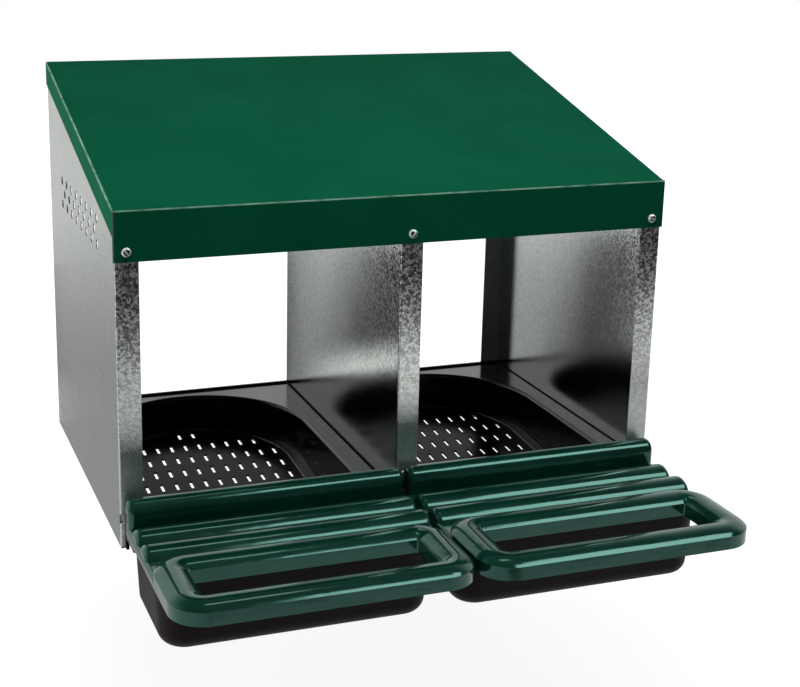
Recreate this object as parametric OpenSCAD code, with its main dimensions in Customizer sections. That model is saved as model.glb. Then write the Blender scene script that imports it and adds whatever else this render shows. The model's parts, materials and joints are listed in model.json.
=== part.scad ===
// Roll-out nest box with two nests, hung on a wall.
// Drawn with X across the front, Y towards the wall and Z up, from the panels' lower front edge.
// Each piece is then moved so that the origin lies midway between the four wall holes.

/* [Box] */
// Width across the outside of the side panels
box_w = 598; // [560:1:680]
// Depth from the front flanges to the wall
box_d = 385; // [350:1:440]
// Height of the roof at its front fold
front_h = 345; // [320:1:400]
// Rise of the roof from the front to the wall
roof_rise = 100; // [70:1:130]
// Thickness of the sheet
sheet = 1; // [0.8:0.1:1.4]
// Inside radius of the folds
fold_r = 1; // [0.6:0.1:1.6]
// Width of the folded flanges
flange_w = 24; // [22:1:28]
// Distance of the partition's left face to the left of the middle
partition_shift = 3; // [2:0.5:4]
// Height to which the front flanges are cut away at the foot
foot_cut_h = 35; // [30:1:38]
// Width of the strip of flange that is left at the foot
foot_strip_w = 5; // [4:0.5:7]

/* [Roof] */
// Height of the front fascia
fascia_h = 51; // [42:1:60]
// Depth of the lips at the sides of the roof
lip_h = 25; // [16:1:32]
// Gap between the roof and what it covers
roof_fit = 0.2; // [0.1:0.1:0.5]
// Depth of the fold along the roof's rear edge
rear_fold_h = 12; // [8:1:18]

/* [Vent holes] */
// Diameter of a vent hole
vent_d = 10; // [6:0.5:11]
// Distance between the holes of a row
vent_pitch = 30; // [25:0.5:32]
// Distance between the rows
vent_row_gap = 13.5; // [13:0.1:16]
// Holes in the longer rows
vent_count = 8; // [4:1:8]
// Distance of the lowest row below the roof's front fold
vent_drop = 52; // [48:1:70]

/* [Fasteners] */
// Diameter of the fascia screws
screw_d = 4.8; // [4:0.1:5]
// Diameter of their heads
screw_head_d = 9.5; // [8:0.1:11]
// Height of their heads
screw_head_h = 3; // [2:0.1:3.5]
// Height of the screws above the fascia's lower edge
screw_up = 10; // [8:0.5:16]
// Width of the nuts across their flats
nut_w = 8; // [7.5:0.1:9]
// Diameter of the rivets
rivet_d = 3.2; // [3:0.1:4]
// Diameter of the wall holes
wall_hole_d = 6; // [5:0.1:8]
// Height of the lower wall holes
wall_hole_low = 210; // [195:1:225]
// Distance between the lower and the upper wall holes
wall_hole_rise = 180; // [150:1:185]
// Radial gap round a shank in its hole
hole_gap = 0.2; // [0.1:0.05:0.3]

/* [Nest trays] */
// Height of the top of the rim
rim_z = 24; // [22:0.5:26]
// Width of the flat rim at the sides
rim_w = 20.5; // [18:0.5:24]
// Width of the flat rim at the back
rear_rim_w = 15.5; // [14:0.5:24]
// Wall of the moulding
tray_wall = 2.5; // [2:0.1:3]
// Rounding of the rim's inner edge
rim_round = 4; // [2.5:0.5:5]
// Lean of the bowl's wall
bowl_draft = 8; // [5:0.5:10]
// Height of the lip along the back of the rim
tray_lip_h = 2.5; // [1.5:0.5:4]
// Depth of the nest floor below the panels' edge, at the front flanges
floor_drop = 40.5; // [36:0.5:44]
// Slope of the nest floor, in degrees
floor_slope = 4.2; // [3:0.1:5.5]
// Width of the plain floor between the wall and the drop-in floor
floor_margin = 5; // [3:0.5:7]
// Reach of the chute in front of the front flanges
chute_reach = 14; // [10:0.5:16]
// Gap between a tray and the sheet beside it
tray_gap = 0.5; // [0.3:0.1:1]
// Thickness of the drop-in nest floor
mat_t = 2.5; // [2:0.1:3]
// Width of the ledge under its edge
mat_ledge = 4; // [3:0.5:6]
// Gap round the nest floor
mat_gap = 0.4; // [0.2:0.1:0.6]
// Radius of the bead along its edge
mat_bead_r = 1.5; // [1:0.1:2]
// Width of a slot in the nest floor
slot_w = 4; // [3:0.1:5]
// Length of a slot
slot_l = 17.5; // [12:0.5:20]
// Distance between slots across the nest
slot_pitch_x = 17.2; // [15:0.1:20]
// Distance between rows of slots
slot_pitch_y = 33.3; // [28:0.1:36]
// Distance of the rearmost slots from the bowl's centre, at their middle
slot_first = 92; // [80:1:94]

/* [Ledges and rails] */
// Width of the ledges' horizontal leg
ledge_w = 14; // [12:1:16]
// Height of the ledges' upright leg
ledge_h = 12; // [8:1:16]
// Height of the front rail's lower leg
rail_z = 22; // [20:0.5:24]
// Height of the front rail's top edge
rail_top = 50; // [48:0.5:51]
// Height of the rear rail
rear_rail_h = 19; // [14:1:20]

/* [Covers] */
// Gap between the two covers
cover_gap = 4; // [3:0.5:8]
// Distance of the covers in from the box's sides
cover_inset = 3; // [2:0.5:5]
// Wall of the moulding
cover_wall = 2; // [1.6:0.1:2.4]
// Distance of the ridge's centre line in front of the front flanges
ridge_y = 14; // [13.5:0.5:18]
// Height of the ridge's centre line
ridge_z = 44; // [43:0.5:46]
// Outside radius of the ridge
ridge_r = 12; // [11:0.5:12]
// Height of the lower edge of the skirt
skirt_z = 19; // [18:0.5:20]
// Height of the deck between the ribs
deck_z = 28; // [27:0.5:30]
// Width of a rib on the deck
rib_w = 33; // [28:0.5:34]
// Width of the valley between the ridge and the first rib
valley_w = 6.5; // [3:0.5:8]
// Height of a rib above the deck
rib_h = 10; // [8:0.5:12]
// Distance between ribs
rib_pitch = 36.8; // [35:0.1:40]
// Rounding of the ends of the ridge and the ribs
end_round = 6; // [4:0.5:8]
// Distance of those ends in from the cover's sides
end_inset = 1; // [0.5:0.1:2]
// Rounding of the deck's side edges
deck_round = 4; // [3:0.5:5]
// Distance between the last rib and the handle frame
frame_gap = 5.2; // [3:0.1:8]
// Width of the frame's bars
bar_w = 32; // [28:0.5:34]
// Height of the crest of the bars
bar_top = 39.5; // [37:0.5:42]
// Height of the curved part of the bars
bar_crown = 7; // [5:0.5:9]
// Depth of the handle frame
frame_d = 118; // [110:1:140]
// Inside radius of the corners of the handle hole
hole_r = 2; // [2:0.5:6]

/* [Hinges] */
// Diameter of the hinge rods
rod_d = 4; // [3:0.1:5]
// Radial running gap round a rod
rod_gap = 0.05; // [0.02:0.01:0.1]
// Distance of the outer ears from the cover's middle
ear_reach = 100; // [80:1:115]
// Thickness of an ear
ear_t = 2; // [1.5:0.1:3]
// Thickness of a hinge web in the ridge
web_t = 3; // [2:0.1:4]
// Gap between an ear and a web
ear_gap = 0.4; // [0.3:0.1:0.8]
// Diameter of the push-on clips
clip_d = 10; // [8:0.5:12]
// Thickness of the clips
clip_t = 1.5; // [1:0.1:2]

/* [Egg trays] */
// Distance of the tray's sides in from the nest tray's sides
egg_inset = 8; // [8:0.5:12]
// Distance of the tray's front in from the frame's hole
egg_front_gap = 1; // [0.5:0.5:4]
// Plan radius of the front corners
egg_corner_r = 30; // [28:0.5:36]
// Lean of the walls
egg_draft = 3; // [2:0.5:6]
// Rounding between the walls and the floor
egg_fillet = 15; // [10:0.5:17]
// Wall of the moulding
egg_wall = 2.5; // [2:0.1:3]
// Gap between the cover and the tray that it rests on
rest_gap = 0.3; // [0.2:0.1:0.5]
// Gap between the chute and the tray's tongue below it
lap_gap = 0.2; // [0.1:0.1:0.5]
// Step down from the tongue to the tray's floor
egg_step = 5; // [3:0.5:7]
// Diameter of the pegs that carry the tray
peg_d = 5; // [4:0.5:6]

/* [Hidden] */
$fn = 64;

// Overshoot of a cut past the face that it opens
cut = 1;
// Longer than any piece
far = 1000;

// Roof
roof_slope = atan(roof_rise / box_d);
roof_sheet = sheet / cos(roof_slope);
roof_w = box_w + 2 * (roof_fit + sheet);
function roof_top(y) = front_h + roof_rise * y / box_d;
// The uprights end where the roof's folds begin to round
function under_roof(y) = roof_top(y) - roof_sheet - fold_r;
fold_y = fold_r - roof_fit;
fold_z = roof_top(fold_y) - (fold_r + sheet) / cos(roof_slope);
roof_seam_y = fold_y - (fold_r + sheet) * sin(roof_slope);

// Fastener places
screw_z = front_h - fascia_h + screw_up;
screw_grip = roof_fit + 2 * sheet;
nut_t = 4;
screw_tail = 1;
drive_w = 1.2;
drive_depth = 1.3;
head_round = 0.62 * screw_head_d;
left_x = -box_w / 2;
flange_mid = flange_w / 2;
screw_xs = [left_x + flange_mid, -partition_shift + flange_mid, -left_x - flange_mid];
screw_turns = [-37, 37, 107];
rivet_steps = [flange_w / 3, flange_w * 3 / 4];
rivet_xs = [
    for (i = rivet_steps) left_x + i,
    for (i = rivet_steps) i - partition_shift,
    for (i = rivet_steps) -left_x - i
];
rivet_head_h = 0.9;
rivet_head_d = 2 * rivet_d;
rivet_crown_d = 1.2 * rivet_d;
rivet_tail_d = 1.5 * rivet_d;
front_rivet_z = (foot_cut_h + rail_top) / 2;
rivet_hole_d = rivet_d + 2 * hole_gap;
wall_hole_x = -left_x - flange_mid;
wall_hole_mid = wall_hole_low + wall_hole_rise / 2;
foot_slit_h = 10;

// Nest trays
nest_w = box_w / 2 - sheet - partition_shift;
tray_hw = nest_w / 2 - tray_gap;
nest_x = box_w / 2 - sheet - tray_gap - tray_hw;
tray_front = 3 * sheet;
tray_back = box_d - 3 * sheet;
bowl_r = tray_hw - rim_w - rim_round;
bowl_z = rim_z - rim_round;
bowl_y = tray_back - rear_rim_w - rim_round - bowl_r;
floor_t = mat_t + tray_wall;
function floor_z(y) = tan(floor_slope) * y - floor_drop;
function wall_r(y) = bowl_r - (bowl_z - floor_z(y)) * tan(bowl_draft);
mat_seat_r = wall_r(-chute_reach) - floor_margin;
mat_r = mat_seat_r - mat_gap;
mat_open_r = mat_seat_r - mat_ledge;
slot_limit_r = mat_open_r - mat_gap;
chute_wall_drop = 6;
chute_wall_top = rail_z - chute_wall_drop;
seat_z = rim_z - tray_wall;

// Rails and ledges
rail_hx = box_w / 2 - sheet - fold_r - tray_gap;
rail_deep_hx = box_w / 2 - flange_w;
slot_fit = 0.5;
cheek_run = 11;
cheek_clear = 2;
ledge_front = tray_front + cheek_run + cheek_clear;
ledge_back = box_d - 2 * sheet - ledge_w - slot_fit;

// Covers
cover_hw = (box_w - cover_gap) / 4 - cover_inset / 2;
cover_x = cover_gap / 2 + cover_hw;
rib_r = (rib_w * rib_w / 4 + rib_h * rib_h) / (2 * rib_h);
rib_z = deck_z + rib_h - rib_r;
rib_y0 = ridge_y + ridge_r + valley_w + rib_w / 2;
rib_ys = [rib_y0, rib_y0 + rib_pitch];
frame_y = rib_ys[1] + rib_w / 2 + frame_gap;
bar_r = (bar_w * bar_w / 4 + bar_crown * bar_crown) / (2 * bar_crown);
hole_y = frame_y + bar_w;
frame_r = bar_w + hole_r;
gusset_pitch = 60;
gusset_xs = [for (i = [-1.5 : 1.5]) i * gusset_pitch];
end_cap_back = 4;

// Hinges
ear_xs = [-ear_reach, 0, ear_reach];
// Front and back of an ear's neck, from the rod's centre line
ear_neck = [-7, -2];
eye_wall = 3;
ear_r = rod_d / 2 + eye_wall;
rail_reach = ridge_y - ear_neck[0] + sheet;
bore_d = rod_d + 2 * rod_gap;
web_step = ear_t / 2 + ear_gap + web_t / 2;
clip_x = ear_reach + ear_t / 2 + ear_gap + web_t + ear_gap;
rod_tail = 3;
rod_hl = clip_x + clip_t + rod_tail;
leg_margin = 25;
leg_hx = ear_reach + leg_margin;

// Egg trays
egg_hw = tray_hw - egg_inset;
egg_front = -(hole_y - cover_wall - egg_front_gap);
egg_back_gap = 13;
egg_back = -(chute_reach + egg_back_gap);
egg_top = skirt_z - rest_gap;
tongue_top = floor_z(-chute_reach) - floor_t / cos(floor_slope) - lap_gap;
egg_floor = tongue_top - egg_step;
cheek_gap = 1;
cheek_t = 3;
cheek_low = -3;
arm_low = 9;
cover_clear = 1.5;
arm_top = skirt_z - cover_clear;
lug_front = -2;
peg_reach = 3;
peg_drop = 5.5;
peg_y = egg_back - peg_d;
peg_z = egg_top - peg_drop;

// Colours
zinc = [0.62, 0.65, 0.64];
bright_zinc = [0.75, 0.76, 0.76];
roof_green = [0.05, 0.33, 0.24];
cover_green = [0.09, 0.3, 0.24];
nest_black = [0.04, 0.04, 0.04];
egg_black = [0.12, 0.1, 0.09];

// Moves a piece from the drawing's corner to the middle of the wall holes
module placed() {
    translate([0, -box_d, -wall_hole_mid]) children();
}

// Draws the same piece for the left nest (side -1) or the right one (side 1)
module at_nest(side) {
    placed() translate([side * nest_x, 0, 0]) children();
}

module at_cover(side) {
    placed() translate([side * cover_x, 0, 0]) children();
}

// Extrudes a side view, drawn as depth and height, across X from x0 to x1
module across(x0, x1) {
    translate([x0, 0, 0]) rotate([90, 0, 90]) linear_extrude(x1 - x0) children();
}

// Extrudes a front view, drawn as width and height, along Y from y0 to y1
module along(y0, y1) {
    translate([0, y1, 0]) rotate([90, 0, 0]) linear_extrude(y1 - y0) children();
}

// Round bar or hole along Y, from y0 to y1
module rod_y(d, y0, y1) {
    translate([0, y0, 0]) rotate([-90, 0, 0]) cylinder(d = d, h = y1 - y0);
}

// Round bar or hole along X, from x0 to x1
module rod_x(d, x0, x1) {
    translate([x0, 0, 0]) rotate([0, 90, 0]) cylinder(d = d, h = x1 - x0);
}

// Rectangle with round corners
module round_rect(w, d, r) {
    translate([r, 0]) square([w - 2 * r, d]);
    translate([0, r]) square([w, d - 2 * r]);
    for (x = [r, w - r], y = [r, d - r])
        translate([x, y]) circle(r);
}

// Plan of an upright: a web with a flange folded towards +X at the front and at the wall
module channel_plan() {
    intersection() {
        difference() {
            round_rect(2 * flange_w, box_d, fold_r + sheet);
            translate([sheet, sheet])
                round_rect(2 * (flange_w - sheet), box_d - 2 * sheet, fold_r);
        }
        square([flange_w, box_d]);
    }
}

// Upright cut to the roof's slope, with its foot cut away and its front holes made
module upright() {
    difference() {
        intersection() {
            linear_extrude(front_h + roof_rise) channel_plan();
            across(-cut, flange_w + cut)
                polygon([[0, 0], [box_d, 0], [box_d, under_roof(box_d)], [0, under_roof(0)]]);
        }
        translate([foot_strip_w, -cut, -cut]) cube([flange_w, sheet + 2 * cut, foot_cut_h + cut]);
        translate([-cut, -cut, foot_cut_h - foot_slit_h]) cube([flange_w, sheet + fold_r + cut, foot_slit_h]);
        translate([flange_mid, 0, screw_z]) rod_y(screw_d + 2 * hole_gap, -cut, sheet + cut);
        for (i = rivet_steps) {
            translate([i, 0, front_rivet_z]) rod_y(rivet_hole_d, -cut, sheet + cut);
            translate([i, 0, rear_rail_h / 2]) rod_y(rivet_hole_d, box_d - sheet - cut, box_d + cut);
        }
    }
}

// Side panel in the drawing's place on the left: vent holes in the web, wall holes in the rear flange
module side_panel() {
    difference() {
        translate([left_x, 0, 0]) upright();
        for (row = [0 : 2]) {
            count = vent_count - row % 2;
            row_z = front_h - vent_drop + row * vent_row_gap;
            for (i = [0 : count - 1])
                translate([left_x, box_d / 2 + (i - (count - 1) / 2) * vent_pitch, row_z])
                    rod_x(vent_d, -cut, sheet + cut);
        }
        for (z = [wall_hole_low, wall_hole_low + wall_hole_rise])
            translate([-wall_hole_x, 0, z]) rod_y(wall_hole_d, box_d - sheet - cut, box_d + cut);
    }
}

module left_side_panel() {
    color(zinc) placed() side_panel();
}

module right_side_panel() {
    color(zinc) placed() mirror([1, 0, 0]) side_panel();
}

// The partition is slotted where the two rails pass through its web
module centre_partition() {
    slot_x = sheet + fold_r + slot_fit;
    color(zinc) placed() translate([-partition_shift, 0, 0]) difference() {
        upright();
        translate([-cut, sheet, rail_z - slot_fit])
            cube([slot_x + cut, sheet + slot_fit, rail_top - rail_z + 2 * slot_fit]);
        translate([-cut, box_d - 2 * sheet - slot_fit, -cut])
            cube([slot_x + cut, sheet + slot_fit, seat_z + cut + slot_fit]);
        translate([-cut, box_d - 2 * sheet - ledge_w - slot_fit, seat_z - sheet - slot_fit])
            cube([slot_x + cut, ledge_w + slot_fit, sheet + 2 * slot_fit]);
        translate([-cut, box_d - 2 * sheet - slot_fit, under_roof(box_d) - rear_fold_h - 2 * slot_fit])
            cube([slot_x + cut, sheet + slot_fit, far]);
    }
}

// Top and side lips in one folded section, run along the slope and cut plumb at both ends
module roof_top_sheet() {
    intersection() {
        translate([0, 0, roof_top(0)]) rotate([roof_slope, 0, 0]) along(-lip_h, box_d + 2 * lip_h)
            intersection() {
                translate([-roof_w / 2, -2 * lip_h]) difference() {
                    round_rect(roof_w, 2 * lip_h, fold_r + sheet);
                    translate([sheet, sheet]) round_rect(roof_w - 2 * sheet, 2 * (lip_h - sheet), fold_r);
                }
                translate([-roof_w / 2, -lip_h]) square([roof_w, lip_h]);
            }
        translate([-far / 2, roof_seam_y, 0]) cube([far, box_d - roof_seam_y, far]);
    }
}

// Side view of all that lies inside a fascia and a roof top joined by a fold of radius r
module fascia_corner(r) {
    top_tangent = r * [-sin(roof_slope), cos(roof_slope)];
    translate([fold_y, fold_z]) {
        circle(r);
        polygon([
            [-r, 0], [-r, -far], [far, -far],
            top_tangent + far * [cos(roof_slope), sin(roof_slope)], top_tangent
        ]);
    }
}

// Fascia in side view, with the fold that joins it to the top
module fascia_side_view() {
    intersection() {
        difference() {
            fascia_corner(fold_r + sheet);
            fascia_corner(fold_r);
        }
        translate([-far + roof_seam_y + sheet, front_h - fascia_h]) square(far);
    }
}

module roof_panel() {
    rear_hx = box_w / 2 - sheet - fold_r - slot_fit;
    rear_back = box_d - sheet - roof_fit;
    rear_front = rear_back - sheet;
    rear_low = under_roof(box_d) - rear_fold_h;
    half_sheet = roof_sheet / 2;
    color(roof_green) placed() difference() {
        union() {
            roof_top_sheet();
            across(-roof_w / 2, roof_w / 2) fascia_side_view();
            across(-rear_hx, rear_hx)
                polygon([
                    [rear_front, rear_low], [rear_back, rear_low],
                    [rear_back, roof_top(rear_back) - half_sheet], [rear_front, roof_top(rear_front) - half_sheet]
                ]);
        }
        for (x = screw_xs)
            translate([x, 0, screw_z]) rod_y(screw_d + 2 * hole_gap, -far / 2, 0);
    }
}

// Ear in side view: an eye round the rod on a neck that stands in front of it, clear of the turning ridge
module ear_side_view() {
    translate([-ridge_y, ridge_z]) difference() {
        union() {
            circle(ear_r);
            translate([ear_neck[0], rail_z - ridge_z]) square([ear_neck[1] - ear_neck[0], ridge_z - rail_z]);
        }
        circle(d = bore_d);
    }
}

// Folded strip behind the front flanges, with a lower leg and hinge ears under each cover
module front_rail() {
    color(zinc) placed() difference() {
        union() {
            across(-rail_hx, rail_hx)
                translate([sheet, foot_cut_h]) square([sheet, rail_top - foot_cut_h]);
            across(-rail_deep_hx, rail_deep_hx)
                translate([sheet, rail_z]) square([sheet, rail_top - rail_z]);
            for (side = [-1, 1])
                translate([side * cover_x, 0, 0]) {
                    across(-leg_hx, leg_hx)
                        translate([-rail_reach, rail_z]) square([rail_reach + 2 * sheet, sheet]);
                    for (x = ear_xs)
                        across(x - ear_t / 2, x + ear_t / 2) ear_side_view();
                }
        }
        for (x = rivet_xs)
            translate([x, 0, front_rivet_z]) rod_y(rivet_hole_d, 0, 2 * sheet + cut);
    }
}

// Angle inside the rear flanges; the back of the tray rims lies on its top leg
module rear_rail() {
    back = box_d - sheet;
    color(zinc) placed() difference() {
        across(-rail_hx, rail_hx) {
            translate([back - sheet, seat_z - rear_rail_h]) square([sheet, rear_rail_h]);
            translate([back - sheet - ledge_w, seat_z - sheet]) square([ledge_w + sheet, sheet]);
        }
        for (x = rivet_xs)
            translate([x, 0, rear_rail_h / 2]) rod_y(rivet_hole_d, back - sheet - cut, back + cut);
    }
}

// Angle that carries the side of a tray's rim; it stands against a sheet at X = 0 and reaches towards +X
module tray_ledge() {
    along(ledge_front, ledge_back) {
        translate([0, seat_z - ledge_h]) square([sheet, ledge_h]);
        translate([0, seat_z - sheet]) square([ledge_w, sheet]);
    }
}

module left_tray_ledge() {
    color(zinc) placed() translate([left_x + sheet, 0, 0]) tray_ledge();
}

module right_tray_ledge() {
    color(zinc) placed() mirror([1, 0, 0]) translate([left_x + sheet, 0, 0]) tray_ledge();
}

module partition_tray_ledges() {
    color(zinc) placed() {
        translate([-partition_shift, 0, 0]) mirror([1, 0, 0]) tray_ledge();
        translate([sheet - partition_shift, 0, 0]) tray_ledge();
    }
}

// Everything drawn here lies on the sloping nest floor: Z = 0 is its top face
module on_floor() {
    translate([0, 0, -floor_drop]) rotate([floor_slope, 0, 0]) children();
}

// Plan of the nest: a half circle at the back and straight sides to the front
module nest_plan(r, y_front) {
    translate([0, bowl_y]) circle(r);
    translate([-r, y_front]) square([2 * r, bowl_y - y_front]);
}

// Leaning nest form up to a given height, with radius r at the foot of the rim's rounding
module nest_form(r, top, y_front) {
    low = -floor_drop - 3 * floor_t;
    low_r = r - (bowl_z - low) * tan(bowl_draft);
    top_r = r + (top - bowl_z) * tan(bowl_draft);
    translate([0, bowl_y, low]) cylinder(h = top - low, r1 = low_r, r2 = top_r);
    along(y_front, bowl_y)
        polygon([[-low_r, low], [low_r, low], [top_r, top], [-top_r, top]]);
}

// Half of the air above the bowl's rounded edge, in section
module rim_flare_section() {
    difference() {
        translate([0, bowl_z]) square([bowl_r + rim_round, rim_round + cut]);
        translate([bowl_r + rim_round, bowl_z]) circle(rim_round);
    }
}

module rim_flare(y_front) {
    translate([0, bowl_y, 0]) rotate_extrude() rim_flare_section();
    along(y_front, bowl_y) {
        rim_flare_section();
        mirror([1, 0]) rim_flare_section();
    }
}

// Cheek that passes the cut-away flange at the foot: a lug there, and an arm that carries the egg tray on a peg
module tray_cheek() {
    x0 = egg_hw + cheek_gap;
    across(x0, x0 + cheek_t)
        polygon([
            [tray_front + cheek_run, seat_z + tray_wall / 2], [tray_front + cheek_run, cheek_low],
            [lug_front, cheek_low], [lug_front, arm_low],
            [peg_y - peg_d, arm_low], [peg_y - peg_d, arm_top],
            [tray_front, arm_top], [tray_front, seat_z + tray_wall / 2]
        ]);
    translate([x0, tray_front, cheek_low])
        cube([tray_hw - x0, cheek_run, seat_z + tray_wall / 2 - cheek_low]);
    translate([0, peg_y, peg_z]) rod_x(peg_d, egg_hw - egg_wall - peg_reach, x0 + cheek_t / 2);
}

module nest_tray() {
    difference() {
        union() {
            translate([-tray_hw, tray_front, seat_z])
                cube([2 * tray_hw, tray_back - tray_front, tray_wall]);
            translate([-tray_hw, tray_back - tray_wall, seat_z])
                cube([2 * tray_hw, tray_wall, tray_wall + tray_lip_h]);
            difference() {
                nest_form(bowl_r + tray_wall, seat_z + tray_wall / 2, -chute_reach);
                on_floor() translate([-far / 2, -far / 2, -far - floor_t]) cube(far);
            }
        }
        intersection() {
            nest_form(bowl_r, bowl_z, -chute_reach - cut);
            on_floor() translate([-far / 2, -far / 2, 0]) cube(far);
        }
        rim_flare(-chute_reach - cut);
        on_floor() {
            translate([0, 0, -mat_t]) linear_extrude(2 * mat_t) nest_plan(mat_seat_r, -2 * chute_reach);
            translate([0, 0, -far / 2]) linear_extrude(far / 2) nest_plan(mat_open_r, mat_ledge - chute_reach);
        }
        translate([-far / 2, tray_front - far, chute_wall_top]) cube(far);
    }
    for (side = [0, 1])
        mirror([side, 0, 0]) tray_cheek();
}

module nest_tray_left() {
    color(nest_black) at_nest(-1) nest_tray();
}

module nest_tray_right() {
    color(nest_black) at_nest(1) nest_tray();
}

// True where a slot at (x, y), measured from the bowl's centre, lies clear of the ledge
function slot_fits(x, y) =
    norm([abs(x) + slot_w / 2, max(y + slot_l / 2, 0)]) < slot_limit_r;

// Perforated plate that drops into the bowl; its front edge ends flush with the chute
module nest_floor() {
    front = -chute_reach / cos(floor_slope);
    rows = floor((slot_first + bowl_y) / slot_pitch_y);
    columns = floor(slot_limit_r / slot_pitch_x);
    bead_x = mat_r - mat_bead_r;
    on_floor() translate([0, 0, -mat_t]) difference() {
        union() {
            linear_extrude(mat_t) nest_plan(mat_r, front);
            translate([0, bowl_y, mat_t]) rotate_extrude(angle = 180) translate([bead_x, 0]) circle(mat_bead_r);
            for (side = [-1, 1])
                translate([side * bead_x, 0, mat_t]) rod_y(2 * mat_bead_r, front, bowl_y);
        }
        for (row = [0 : rows], column = [-columns : columns - 1]) {
            x = (column + 0.5) * slot_pitch_x;
            y = slot_first - row * slot_pitch_y;
            if (slot_fits(x, y) && bowl_y + y > slot_l)
                translate([x - slot_w / 2, bowl_y + y - slot_l / 2, -cut])
                    cube([slot_w, slot_l, mat_t + 2 * cut]);
        }
    }
}

module nest_floor_left() {
    color(nest_black) at_nest(-1) nest_floor();
}

module nest_floor_right() {
    color(nest_black) at_nest(1) nest_floor();
}

// Half section of a tray, from the corner's axis outwards: leaning wall, rounded foot and flat floor
module tray_section(top_r, top, low, fillet) {
    mid_z = low + fillet;
    mid_r = top_r - (top - mid_z) * tan(egg_draft) - fillet / cos(egg_draft);
    polygon([
        [0, low], [mid_r, low], [mid_r, mid_z],
        [mid_r + fillet * cos(egg_draft), mid_z - fillet * sin(egg_draft)],
        [top_r, top], [0, top]
    ]);
    translate([mid_r, mid_z]) intersection() {
        circle(fillet);
        translate([0, -fillet]) square([fillet, 2 * fillet]);
    }
}

// Runs a section round the front and sides of a U; its X axis points outwards from the corner's axis
module u_sweep(hw, y_front, y_back, r) {
    for (side = [0, 1])
        mirror([side, 0, 0]) translate([hw - r, 0, 0]) {
            translate([0, y_front + r, 0]) rotate([0, 0, 270]) rotate_extrude(angle = 90) children();
            along(y_front + r, y_back) children();
        }
    translate([hw - r, y_front + r, 0]) rotate([90, 0, -90]) linear_extrude(2 * (hw - r)) children();
}

// Solid form of the egg tray, drawn in by a wall thickness
module egg_form(inset, top, y_back) {
    hw = egg_hw - inset;
    r = egg_corner_r - inset;
    low = egg_floor - egg_wall + inset;
    u_sweep(hw, egg_front + inset, y_back, r) tray_section(r, egg_top, low, egg_fillet - inset);
    translate([r - hw, egg_front + egg_corner_r, low])
        cube([2 * (hw - r), y_back - egg_front - egg_corner_r, top - low]);
}

module egg_tray() {
    tongue_hw = egg_hw - 2 * egg_corner_r;
    difference() {
        union() {
            egg_form(0, egg_top, egg_back);
            translate([-tongue_hw, egg_back - cut, egg_floor - egg_wall])
                cube([2 * tongue_hw, tray_front + cut - egg_back, egg_step + egg_wall]);
        }
        egg_form(egg_wall, egg_top, egg_back + egg_wall);
        for (side = [0, 1])
            mirror([side, 0, 0]) translate([egg_hw, peg_y, peg_z])
                rod_x(peg_d + 2 * hole_gap, -egg_corner_r, cut);
    }
}

module egg_tray_left() {
    color(egg_black) at_nest(-1) egg_tray();
}

module egg_tray_right() {
    color(egg_black) at_nest(1) egg_tray();
}

// Section of a bar of the handle frame, from the corner's axis outwards, drawn in by a wall thickness
module bar_section(inset, low) {
    mid = frame_r - bar_w / 2;
    hw = bar_w / 2 - inset;
    // The crown and the skirt overlap below their seam, so that the circle alone places it
    lap_z = bar_top - bar_crown - cut - inset;
    translate([mid - hw, low]) square([2 * hw, lap_z - low]);
    intersection() {
        translate([mid, bar_top - bar_r]) circle(bar_r - inset);
        translate([mid - hw, lap_z - cut]) square([2 * hw, bar_top - lap_z + cut]);
    }
}

// Runs a section round all four sides of the handle frame
module frame_sweep() {
    hd = frame_d / 2;
    translate([0, -frame_y - hd, 0])
        for (side = [0, 1], end = [0, 1])
            mirror([side, 0, 0]) mirror([0, end, 0]) {
                translate([cover_hw - frame_r, frame_r - hd, 0])
                    rotate([0, 0, 270]) rotate_extrude(angle = 90) children();
                translate([cover_hw - frame_r, 0, 0]) along(frame_r - hd, 0) children();
                translate([cover_hw - frame_r, frame_r - hd, 0])
                    rotate([90, 0, -90]) linear_extrude(cover_hw - frame_r) children();
            }
}

// Round bar across the cover, with rounded edges at both ends, drawn in by a wall thickness
module end_rounded_bar(r, inset) {
    hw = cover_hw - end_inset - inset;
    rotate([0, 90, 0]) rotate_extrude() intersection() {
        translate([inset - r, -hw]) round_rect(2 * (r - inset), 2 * hw, end_round - inset);
        translate([0, -hw]) square([r, 2 * hw]);
    }
}

// Ridge: a half round over a straight front wall, with ends that slope back to the top
module ridge(inset, low) {
    hw = cover_hw - end_inset - inset;
    front = -ridge_y - ridge_r + inset;
    back = inset > 0 ? sheet : end_cap_back - ridge_y;
    top_back = inset > 0 ? sheet : ridge_r - ridge_y;
    translate([0, -ridge_y, ridge_z]) end_rounded_bar(ridge_r, inset);
    intersection() {
        translate([-hw, front, low]) linear_extrude(ridge_z - low)
            round_rect(2 * hw, 4 * ridge_r, end_round - inset);
        across(-cover_hw, cover_hw)
            polygon([[front, low], [front, ridge_z], [top_back, ridge_z], [back, low]]);
    }
}

// Front view of the deck: a band with rounded upper corners
module deck_front_view(inset, low) {
    hw = cover_hw - inset;
    top = deck_z - inset;
    intersection() {
        translate([-hw, low - deck_round]) round_rect(2 * hw, top - low + deck_round, deck_round - inset);
        translate([-hw, low]) square([2 * hw, top - low]);
    }
}

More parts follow.
